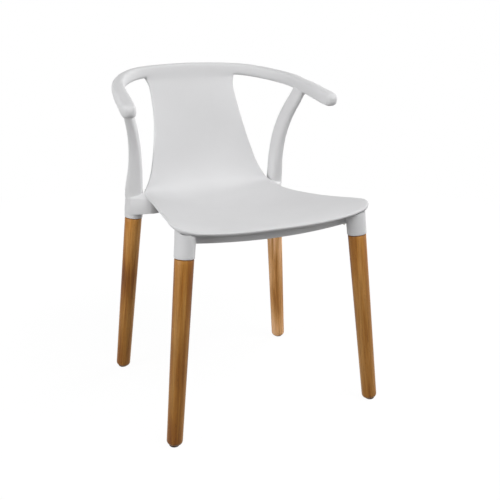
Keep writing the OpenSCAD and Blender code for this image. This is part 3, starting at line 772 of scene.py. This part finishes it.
# moulded nylon: an almost black brown with a fine grain that dulls it, and a paler scuffed sole
MOTTLE = 4.167
MOULD_GRAIN = 0.625
SCUFF_FULL, SCUFF_END = 0.2, 1.2       # heights over the floor between which the scuffing fades
nylon, tree = new_material("dark_brown_nylon")
place = node(tree, "ShaderNodeTexCoord")
mottle = node(tree, "ShaderNodeTexNoise", {"Scale": per_metre(MOTTLE), "Detail": 4.0},
              {"Vector": place.outputs["Object"]})
tint = node(tree, "ShaderNodeValToRGB", links={"Fac": mottle.outputs["Fac"]})
two_tones(tint, (0.34, "#21150E"), (0.7, "#33231A"))
height = node(tree, "ShaderNodeSeparateXYZ", links={"Vector": place.outputs["Object"]})
scuff = node(tree, "ShaderNodeMapRange",
             {"From Min": SCUFF_FULL * MM, "From Max": SCUFF_END * MM, "To Min": 1.5, "To Max": 1.0},
             {"Value": height.outputs["Z"]})
worn = node(tree, "ShaderNodeVectorMath", {"operation": "SCALE"},
            {0: tint.outputs["Color"], "Scale": scuff.outputs["Result"]})
speck = node(tree, "ShaderNodeTexNoise", {"Scale": per_metre(MOULD_GRAIN), "Detail": 2.0},
             {"Vector": place.outputs["Object"]})
mark = node(tree, "ShaderNodeBump", {"Strength": 0.15, "Distance": 0.1 * MM}, {"Height": speck.outputs["Fac"]})
shader = node(tree, "ShaderNodeBsdfPrincipled", {"Roughness": 0.5},
              {"Base Color": worn.outputs["Vector"], "Normal": mark.outputs["Normal"]})
node(tree, "ShaderNodeOutputMaterial", links={"Surface": shader.outputs["BSDF"]})

for name, (foot, rim_point, side, *grain_tone_and_light) in LEGS.items():
    rings = []
    for radius, z in GLIDE_OUTLINE:
        rings.append([(foot[0] * side + radius * math.cos(math.radians(a)),
                       foot[1] + DEPTH_SHIFT + radius * math.sin(math.radians(a)), z)
                      for a in range(0, 360, 10)])
    points, faces = [], []
    skin(rings + rings[:1], points, faces, closed=False)
    glide = new_piece(name + "_domed_glide", points, faces, nylon)
    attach(glide, "root")
    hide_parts(name + "_glide")

# ---------------------------------------------------------------- bolts, washers, inserts, nails and screws
# A bolt with its washer holds each leg by the threaded insert in its tenon, nails hold the glides, and four
# screws hold the bracket. They keep their CAD shapes, and each gets the finish that it has when it is bought.

# steel with bright zinc plate: a silvery metal with faint bluish and yellow patches, and fine scratches that
# turn its gloss up and down
PATCH = 6.25
SCRATCH = 0.3846         # coarser than they are, so that they show
zinc, tree = new_material("bright_zinc_plate")
place = node(tree, "ShaderNodeTexCoord")
patch = node(tree, "ShaderNodeTexNoise", {"Scale": per_metre(PATCH), "Detail": 3.0},
             {"Vector": place.outputs["Object"]})
tint = node(tree, "ShaderNodeValToRGB", links={"Fac": patch.outputs["Fac"]})
two_tones(tint, (0.35, "#B4B8BC"), (0.68, "#C6C4B8"))
scratch = node(tree, "ShaderNodeTexNoise", {"Scale": per_metre(SCRATCH), "Detail": 2.0},
               {"Vector": place.outputs["Object"]})
gloss = node(tree, "ShaderNodeMapRange", {"To Min": 0.26, "To Max": 0.46}, {"Value": scratch.outputs["Fac"]})
mark = node(tree, "ShaderNodeBump", {"Strength": 0.08, "Distance": 0.1 * MM},
            {"Height": scratch.outputs["Fac"]})
shader = node(tree, "ShaderNodeBsdfPrincipled", {"Metallic": 1.0},
              {"Base Color": tint.outputs["Color"], "Roughness": gloss.outputs["Result"],
               "Normal": mark.outputs["Normal"]})
node(tree, "ShaderNodeOutputMaterial", links={"Surface": shader.outputs["BSDF"]})

# turned brass: a yellow metal, slightly tarnished in patches, with fine rings from the cutting tool
TARNISH = 4.545
TOOL_RING = 0.449        # spacing of the rings, coarser than it is
WAVES = math.tau / 20    # a wave pattern of scale 1 has a ring in each such part of a metre
brass, tree = new_material("turned_brass")
place = node(tree, "ShaderNodeTexCoord")
dull = node(tree, "ShaderNodeTexNoise", {"Scale": per_metre(TARNISH), "Detail": 4.0},
            {"Vector": place.outputs["Object"]})
tint = node(tree, "ShaderNodeValToRGB", links={"Fac": dull.outputs["Fac"]})
two_tones(tint, (0.32, "#A87B32"), (0.66, "#D9B45E"))
cut = node(tree, "ShaderNodeTexWave",
           {"wave_type": "RINGS", "rings_direction": "X", "Scale": WAVES * per_metre(TOOL_RING)},
           {"Vector": place.outputs["Object"]})
gloss = node(tree, "ShaderNodeMapRange", {"To Min": 0.24, "To Max": 0.42}, {"Value": dull.outputs["Fac"]})
mark = node(tree, "ShaderNodeBump", {"Strength": 0.1, "Distance": 0.1 * MM}, {"Height": cut.outputs["Fac"]})
shader = node(tree, "ShaderNodeBsdfPrincipled", {"Metallic": 1.0},
              {"Base Color": tint.outputs["Color"], "Roughness": gloss.outputs["Result"],
               "Normal": mark.outputs["Normal"]})
node(tree, "ShaderNodeOutputMaterial", links={"Surface": shader.outputs["BSDF"]})

finishes = {"bracket_screws": zinc}
for corner in LEGS:
    for part, finish in (("bolt", zinc), ("washer", zinc), ("insert", brass), ("nail", zinc)):
        finishes[corner + "_" + part] = finish
for name, finish in finishes.items():
    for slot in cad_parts[name].material_slots:
        slot.material = finish

# ---------------------------------------------------------------- floor, light and camera
# The chair stands on a sweep of white paper that glows faintly to the eye and keeps a soft shadow, in a dim
# white room, under six square soft boxes.

VIEW_AZIMUTH, VIEW_ELEVATION = math.radians(-25.912), math.radians(17.183)
camera_data = bpy.data.cameras.new("camera")
camera_data.lens = 58.098
camera_data.sensor_width = 36
camera = bpy.data.objects.new("camera", camera_data)
bpy.context.collection.objects.link(camera)
camera.location = (-0.7697, -1.6892, 0.9097)
camera.rotation_euler = (math.pi / 2 - VIEW_ELEVATION, 0, VIEW_AZIMUTH)
bpy.context.scene.camera = camera

SWEEP = 6                # half of the paper's width
floor_mesh = bpy.data.meshes.new("floor")
floor_mesh.from_pydata([(-SWEEP, -SWEEP, 0), (SWEEP, -SWEEP, 0), (SWEEP, SWEEP, 0), (-SWEEP, SWEEP, 0)], [],
                       [(0, 1, 2, 3)])
floor = bpy.data.objects.new("floor", floor_mesh)
bpy.context.collection.objects.link(floor)
floor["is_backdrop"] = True


def seen(tree):
    """1 for rays that show the backdrop: straight to the eye, or by way of a gloss or of something clear."""
    path = node(tree, "ShaderNodeLightPath")
    mirrored = node(tree, "ShaderNodeMath", {"operation": "MAXIMUM"},
                    {0: path.outputs["Is Glossy Ray"], 1: path.outputs["Is Transmission Ray"]})
    return node(tree, "ShaderNodeMath", {"operation": "MAXIMUM"},
                {0: path.outputs["Is Camera Ray"], 1: mirrored.outputs["Value"]}).outputs["Value"]


# white paper, with no gloss: near the chair it is partly matte and takes its shadow, farther off it is plain
# white
NEAR, FAR = 0.6, 2.2     # metres from the chair
paper, tree = new_material("white_paper_sweep")
place = node(tree, "ShaderNodeTexCoord")
away = node(tree, "ShaderNodeVectorMath", {"operation": "LENGTH"}, {0: place.outputs["Object"]})
strength = node(tree, "ShaderNodeMapRange", {"From Min": NEAR, "From Max": FAR, "To Min": 1.26, "To Max": 1.0},
                {"Value": away.outputs["Value"]})
cover = node(tree, "ShaderNodeMapRange", {"From Min": NEAR, "From Max": FAR, "To Min": 0.76, "To Max": 1.0},
             {"Value": away.outputs["Value"]})
matte = node(tree, "ShaderNodeBsdfDiffuse", {"Color": linear("#888888")})
glow = node(tree, "ShaderNodeEmission", {"Color": linear("#FFFFFF")}, {"Strength": strength.outputs["Result"]})
share = node(tree, "ShaderNodeMath", {"operation": "MULTIPLY"}, {0: seen(tree), 1: cover.outputs["Result"]})
mixed = node(tree, "ShaderNodeMixShader", links={0: share.outputs["Value"], 1: matte.outputs["BSDF"],
                                                 2: glow.outputs["Emission"]})
node(tree, "ShaderNodeOutputMaterial", links={"Surface": mixed.outputs["Shader"]})
floor_mesh.materials.append(paper)

world = bpy.data.worlds.new("studio")
bpy.context.scene.world = world
world.use_nodes = True
tree = world.node_tree
tree.nodes.clear()
room = node(tree, "ShaderNodeBackground", {"Color": linear("#FFFFFF"), "Strength": 0.02})
white = node(tree, "ShaderNodeBackground", {"Color": linear("#FFFFFF"), "Strength": 1.0})
mixed = node(tree, "ShaderNodeMixShader", links={0: seen(tree), 1: room.outputs["Background"],
                                                 2: white.outputs["Background"]})
node(tree, "ShaderNodeOutputWorld", links={"Surface": mixed.outputs["Shader"]})

# six soft boxes: one low on each side, a weak low one in front on the right, two above the front, one behind;
# azimuth, elevation, and level, which is what a white card facing the box alone would show
BOX_DISTANCE = 3.2
BOX_SIZE = 1.8
AIM = Vector((0, 0, 0.5))
for name, azimuth, elevation, level in (("left_side_box", -80, 12, 0.58),
                                        ("right_side_box", 110, 20, 0.42),
                                        ("low_front_box", 65, 12, 0.27),
                                        ("upper_front_box", -10, 40, 0.28),
                                        ("upper_right_box", 30, 50, 0.42),
                                        ("rear_box", -150, 14, 0.13)):
    a, e = math.radians(azimuth), math.radians(elevation)
    toward = Vector((math.cos(e) * math.sin(a), -math.cos(e) * math.cos(a), math.sin(e)))
    lamp_data = bpy.data.lights.new(name, "AREA")
    lamp_data.shape = "SQUARE"
    lamp_data.size = BOX_SIZE
    lamp_data.energy = level * (math.pi * BOX_DISTANCE) ** 2
    lamp = bpy.data.objects.new(name, lamp_data)
    bpy.context.collection.objects.link(lamp)
    lamp.location = AIM + toward * BOX_DISTANCE
    lamp.rotation_euler = (-toward).to_track_quat("-Z", "Y").to_euler()

bpy.context.scene.view_settings.view_transform = "Standard"

low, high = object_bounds()
